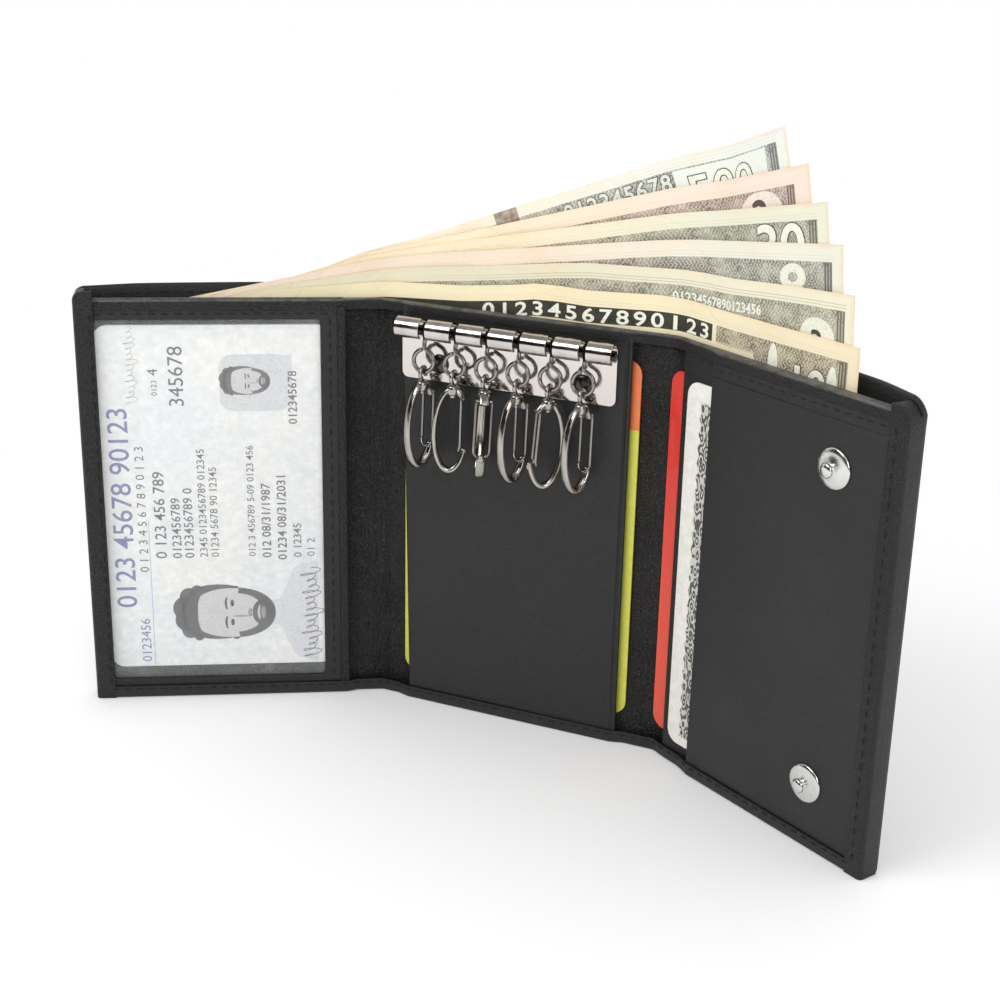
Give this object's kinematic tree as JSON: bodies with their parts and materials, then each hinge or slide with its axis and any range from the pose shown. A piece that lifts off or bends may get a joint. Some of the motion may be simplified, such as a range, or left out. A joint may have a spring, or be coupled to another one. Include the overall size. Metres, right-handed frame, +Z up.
{
  "type": "key wallet",
  "caption": "Black leather trifold key wallet standing open: identity-card window, key bar with swivel snap hooks, card pockets, snap fasteners and a note compartment filled with notes.",
  "frame": {"origin": "middle of the bottom face of the middle leaf's back leather, which is what the middle leaf stands on", "axes": "+Z up; the middle leaf faces -Y; +X runs along it towards the leaf with the card pockets"},
  "size_m": [0.1925, 0.0441, 0.146],
  "materials": {
    "black_leather": "smooth, slightly glossy, with turned and stitched edges",
    "black_lining": "matte, fine grain",
    "polished_nickel": "polished nickel plate",
    "nickel_wire": "darker polished nickel wire",
    "clear_film": "clear flexible film",
    "note_paper": "printed note paper",
    "id_card_plastic": "satin printed card",
    "yellow_card_plastic": "satin printed card",
    "red_card_plastic": "satin printed card",
    "white_card_plastic": "satin printed card"
  },
  "bodies": {
    "middle": {"outer_shell_middle": "black_leather", "lining_middle": "black_lining", "key_flap": "black_leather", "key_plate": "polished_nickel", "key_rod": "nickel_wire", "plate_rivet_left": "polished_nickel", "plate_rivet_right": "polished_nickel", "outer_fold_left": "black_leather", "outer_fold_right": "black_leather", "lining_fold_left": "black_lining", "lining_fold_right": "black_lining", "banknote_1": "note_paper", "banknote_2": "note_paper", "banknote_3": "note_paper", "banknote_4": "note_paper", "banknote_5": "note_paper", "banknote_6": "note_paper"},
    "left_leaf": {"outer_shell_left": "black_leather", "lining_left": "black_lining", "id_window_frame": "black_leather", "id_window_film": "clear_film", "snap_socket_upper": "polished_nickel", "snap_socket_lower": "polished_nickel", "snap_eyelet_upper": "polished_nickel", "snap_eyelet_lower": "polished_nickel"},
    "right_leaf": {"outer_shell_right": "black_leather", "lining_right": "black_lining", "card_divider": "black_lining", "card_pocket": "black_leather", "snap_stud_upper": "polished_nickel", "snap_stud_lower": "polished_nickel"},
    "id_card": {"id_card": "id_card_plastic"},
    "loyalty_card": {"loyalty_card": "yellow_card_plastic"},
    "red_card": {"red_card": "red_card_plastic"},
    "white_card": {"white_card": "white_card_plastic"},
    "hook_link_1": {"hook_link_1": "nickel_wire"},
    "hook_eye_1": {"hook_eye_1": "polished_nickel"},
    "hook_body_1": {"hook_body_1": "polished_nickel"},
    "hook_gate_1": {"hook_gate_1": "nickel_wire"},
    "hook_link_2": {"hook_link_2": "nickel_wire"},
    "hook_eye_2": {"hook_eye_2": "polished_nickel"},
    "hook_body_2": {"hook_body_2": "polished_nickel"},
    "hook_gate_2": {"hook_gate_2": "nickel_wire"},
    "hook_link_3": {"hook_link_3": "nickel_wire"},
    "hook_eye_3": {"hook_eye_3": "polished_nickel"},
    "hook_body_3": {"hook_body_3": "polished_nickel"},
    "hook_gate_3": {"hook_gate_3": "nickel_wire"},
    "hook_link_4": {"hook_link_4": "nickel_wire"},
    "hook_eye_4": {"hook_eye_4": "polished_nickel"},
    "hook_body_4": {"hook_body_4": "polished_nickel"},
    "hook_gate_4": {"hook_gate_4": "nickel_wire"},
    "hook_link_5": {"hook_link_5": "nickel_wire"},
    "hook_eye_5": {"hook_eye_5": "polished_nickel"},
    "hook_body_5": {"hook_body_5": "polished_nickel"},
    "hook_gate_5": {"hook_gate_5": "nickel_wire"},
    "hook_link_6": {"hook_link_6": "nickel_wire"},
    "hook_eye_6": {"hook_eye_6": "polished_nickel"},
    "hook_body_6": {"hook_body_6": "polished_nickel"},
    "hook_gate_6": {"hook_gate_6": "nickel_wire"}
  },
  "joints": [
    {"name": "left_fold", "type": "hinge", "parent": "middle", "child": "left_leaf", "pos_m": [-0.03388, -0.0107, 0], "axis": [0, 0, -1], "range_deg": [-150.2, 29.8], "deforming": ["outer_fold_left", "lining_fold_left", "banknote_1", "banknote_2", "banknote_3", "banknote_4", "banknote_5", "banknote_6"]},
    {"name": "right_fold", "type": "hinge", "parent": "middle", "child": "right_leaf", "pos_m": [0.03251, -0.016, 0], "axis": [0, 0, 1], "range_deg": [-150.5, 29.5], "deforming": ["outer_fold_right", "lining_fold_right", "banknote_1", "banknote_2", "banknote_3", "banknote_4", "banknote_5", "banknote_6"]},
    {"name": "id_card_slide", "type": "slide", "parent": "left_leaf", "child": "id_card", "axis": [0, 0, 1], "range_m": [0, 0.088]},
    {"name": "loyalty_card_slide", "type": "slide", "parent": "middle", "child": "loyalty_card", "axis": [-1, 0, 0], "range_m": [0, 0.0035]},
    {"name": "red_card_slide", "type": "slide", "parent": "right_leaf", "child": "red_card", "axis": [0.8704, -0.4924, 0], "range_m": [0, 0.006]},
    {"name": "white_card_slide", "type": "slide", "parent": "right_leaf", "child": "white_card", "axis": [-0.8704, 0.4924, 0], "range_m": [0, 0.007]},
    {"name": "link_1_swing", "type": "hinge", "parent": "middle", "child": "hook_link_1", "pos_m": [-0.0226, -0.00811, 0.0944], "axis": [-1, 0, 0], "range_deg": [0, 100]},
    {"name": "eye_1_swing", "type": "hinge", "parent": "hook_link_1", "child": "hook_eye_1", "pos_m": [-0.0226, -0.00921, 0.08476], "axis": [-1, 0, 0], "range_deg": [0, 30]},
    {"name": "body_1_swivel", "type": "hinge", "parent": "hook_eye_1", "child": "hook_body_1", "pos_m": [-0.0226, -0.00947, 0.08248], "axis": [0, 0.1132, 0.9936], "range_deg": [0, 60]},
    {"name": "gate_1_hinge", "type": "hinge", "parent": "hook_body_1", "child": "hook_gate_1", "pos_m": [-0.02179, -0.00789, 0.08026], "axis": [-0.9135, 0.4041, -0.046], "range_deg": [0, 17], "stiffness_Nm_per_rad": 0.0002, "springref_deg": -11.46},
    {"name": "link_2_swing", "type": "hinge", "parent": "middle", "child": "hook_link_2", "pos_m": [-0.01484, -0.00811, 0.0944], "axis": [-1, 0, 0], "range_deg": [0, 100]},
    {"name": "eye_2_swing", "type": "hinge", "parent": "hook_link_2", "child": "hook_eye_2", "pos_m": [-0.01484, -0.00921, 0.08476], "axis": [-1, 0, 0], "range_deg": [0, 30]},
    {"name": "body_2_swivel", "type": "hinge", "parent": "hook_eye_2", "child": "hook_body_2", "pos_m": [-0.01484, -0.00947, 0.08248], "axis": [0, 0.1132, 0.9936], "range_deg": [0, 110]},
    {"name": "gate_2_hinge", "type": "hinge", "parent": "hook_body_2", "child": "hook_gate_2", "pos_m": [-0.01303, -0.0089, 0.08037], "axis": [-0.4067, 0.9077, -0.1034], "range_deg": [0, 17], "stiffness_Nm_per_rad": 0.0002, "springref_deg": -11.46},
    {"name": "link_3_swing", "type": "hinge", "parent": "middle", "child": "hook_link_3", "pos_m": [-0.00708, -0.00811, 0.0944], "axis": [-1, 0, 0], "range_deg": [0, 100]},
    {"name": "eye_3_swing", "type": "hinge", "parent": "hook_link_3", "child": "hook_eye_3", "pos_m": [-0.00708, -0.00921, 0.08476], "axis": [-1, 0, 0], "range_deg": [0, 30]},
    {"name": "body_3_swivel", "type": "hinge", "parent": "hook_eye_3", "child": "hook_body_3", "pos_m": [-0.00708, -0.00947, 0.08248], "axis": [0, -0.1132, -0.9936], "range_deg": [0, 56]},
    {"name": "gate_3_hinge", "type": "hinge", "parent": "hook_body_3", "child": "hook_gate_3", "pos_m": [-0.00615, -0.01144, 0.08066], "axis": [0.8829, 0.4665, -0.0531], "range_deg": [0, 17], "stiffness_Nm_per_rad": 0.0002, "springref_deg": -11.46},
    {"name": "link_4_swing", "type": "hinge", "parent": "middle", "child": "hook_link_4", "pos_m": [0.00068, -0.00811, 0.0944], "axis": [-1, 0, 0], "range_deg": [0, 100]},
    {"name": "eye_4_swing", "type": "hinge", "parent": "hook_link_4", "child": "hook_eye_4", "pos_m": [0.00068, -0.00921, 0.08476], "axis": [-1, 0, 0], "range_deg": [0, 30]},
    {"name": "body_4_swivel", "type": "hinge", "parent": "hook_eye_4", "child": "hook_body_4", "pos_m": [0.00068, -0.00947, 0.08248], "axis": [0, 0.1132, 0.9936], "range_deg": [0, 60]},
    {"name": "gate_4_hinge", "type": "hinge", "parent": "hook_body_4", "child": "hook_gate_4", "pos_m": [0.00149, -0.00789, 0.08026], "axis": [-0.9135, 0.4041, -0.046], "range_deg": [0, 17], "stiffness_Nm_per_rad": 0.0002, "springref_deg": -11.46},
    {"name": "link_5_swing", "type": "hinge", "parent": "middle", "child": "hook_link_5", "pos_m": [0.00844, -0.00811, 0.0944], "axis": [-1, 0, 0], "range_deg": [0, 100]},
    {"name": "eye_5_swing", "type": "hinge", "parent": "hook_link_5", "child": "hook_eye_5", "pos_m": [0.00844, -0.00921, 0.08476], "axis": [-1, 0, 0], "range_deg": [0, 30]},
    {"name": "body_5_swivel", "type": "hinge", "parent": "hook_eye_5", "child": "hook_body_5", "pos_m": [0.00844, -0.00947, 0.08248], "axis": [0, 0.1132, 0.9936], "range_deg": [0, 110]},
    {"name": "gate_5_hinge", "type": "hinge", "parent": "hook_body_5", "child": "hook_gate_5", "pos_m": [0.00679, -0.0108, 0.08059], "axis": [0.5592, -0.8237, 0.0939], "range_deg": [0, 17], "stiffness_Nm_per_rad": 0.0002, "springref_deg": -11.46},
    {"name": "link_6_swing", "type": "hinge", "parent": "middle", "child": "hook_link_6", "pos_m": [0.0162, -0.00811, 0.0944], "axis": [-1, 0, 0], "range_deg": [0, 100]},
    {"name": "eye_6_swing", "type": "hinge", "parent": "hook_link_6", "child": "hook_eye_6", "pos_m": [0.0162, -0.00921, 0.08476], "axis": [-1, 0, 0], "range_deg": [0, 30]},
    {"name": "body_6_swivel", "type": "hinge", "parent": "hook_eye_6", "child": "hook_body_6", "pos_m": [0.0162, -0.00947, 0.08248], "axis": [0, 0.1132, 0.9936], "range_deg": [0, 60]},
    {"name": "gate_6_hinge", "type": "hinge", "parent": "hook_body_6", "child": "hook_gate_6", "pos_m": [0.01713, -0.00796, 0.08026], "axis": [-0.8829, 0.4665, -0.0531], "range_deg": [0, 17], "stiffness_Nm_per_rad": 0.0002, "springref_deg": -11.46}
  ]
}
